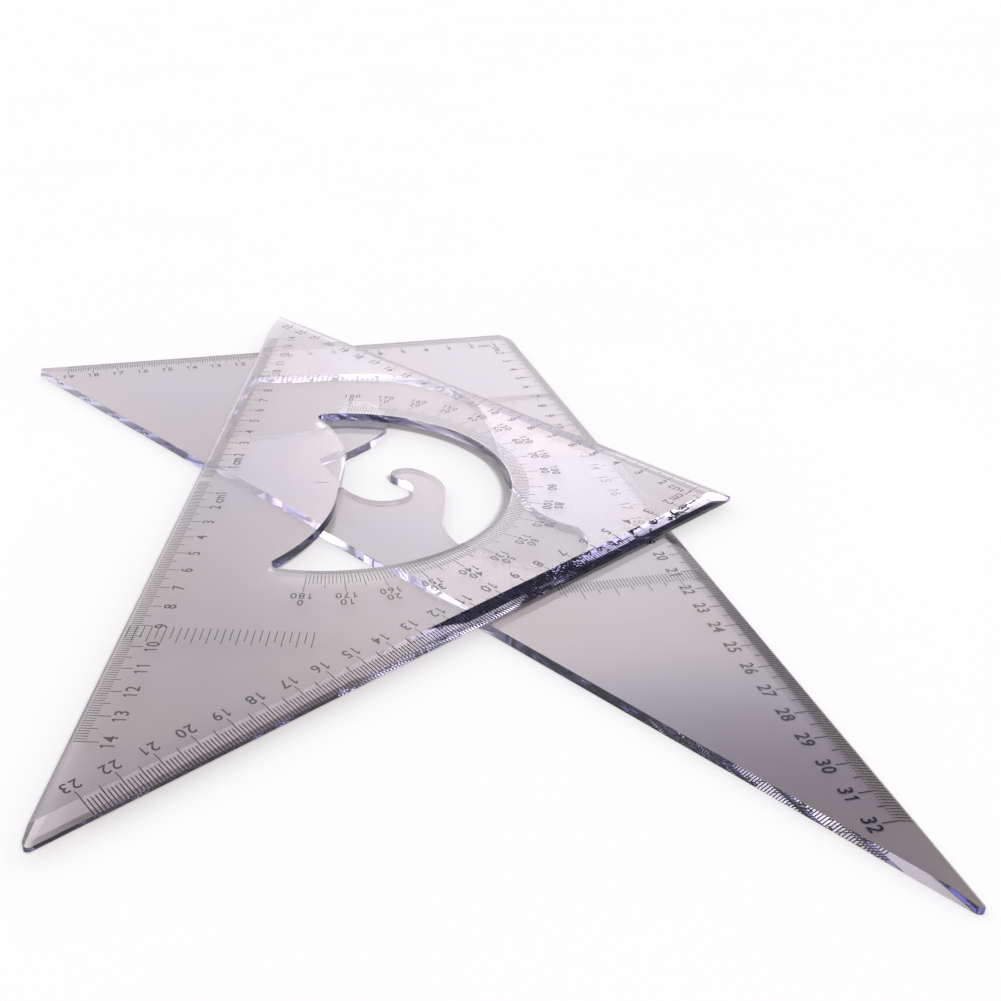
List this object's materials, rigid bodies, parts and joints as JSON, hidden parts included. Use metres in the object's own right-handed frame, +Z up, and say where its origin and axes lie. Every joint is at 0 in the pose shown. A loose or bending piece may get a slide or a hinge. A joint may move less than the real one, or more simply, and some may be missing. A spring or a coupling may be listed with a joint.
{
  "type": "pair of set squares",
  "caption": "Clear acrylic set squares: a 45 degree plate with a protractor opening lying on a 30/60 degree plate with a french-curve opening.",
  "frame": {"origin": "centre of the pair's footprint, on the face the lower plate rests on", "axes": "+Z up, out of the plates' printed faces; -X along the 30/60 plate's short leg and -Y along its long leg, both from its right angle"},
  "size_m": [0.2264, 0.3876, 0.006],
  "materials": {
    "acrylic": "gloss",
    "ink": "matt printed ink"
  },
  "bodies": {
    "lower_set_square": {"thirty_sixty_plate": "acrylic"},
    "upper_set_square": {"forty_five_plate": "acrylic"}
  },
  "joints": [
    {"name": "lift_off", "type": "slide", "parent": "lower_set_square", "child": "upper_set_square", "axis": [0, 0, 1], "range_m": [0, 0.04]}
  ]
}
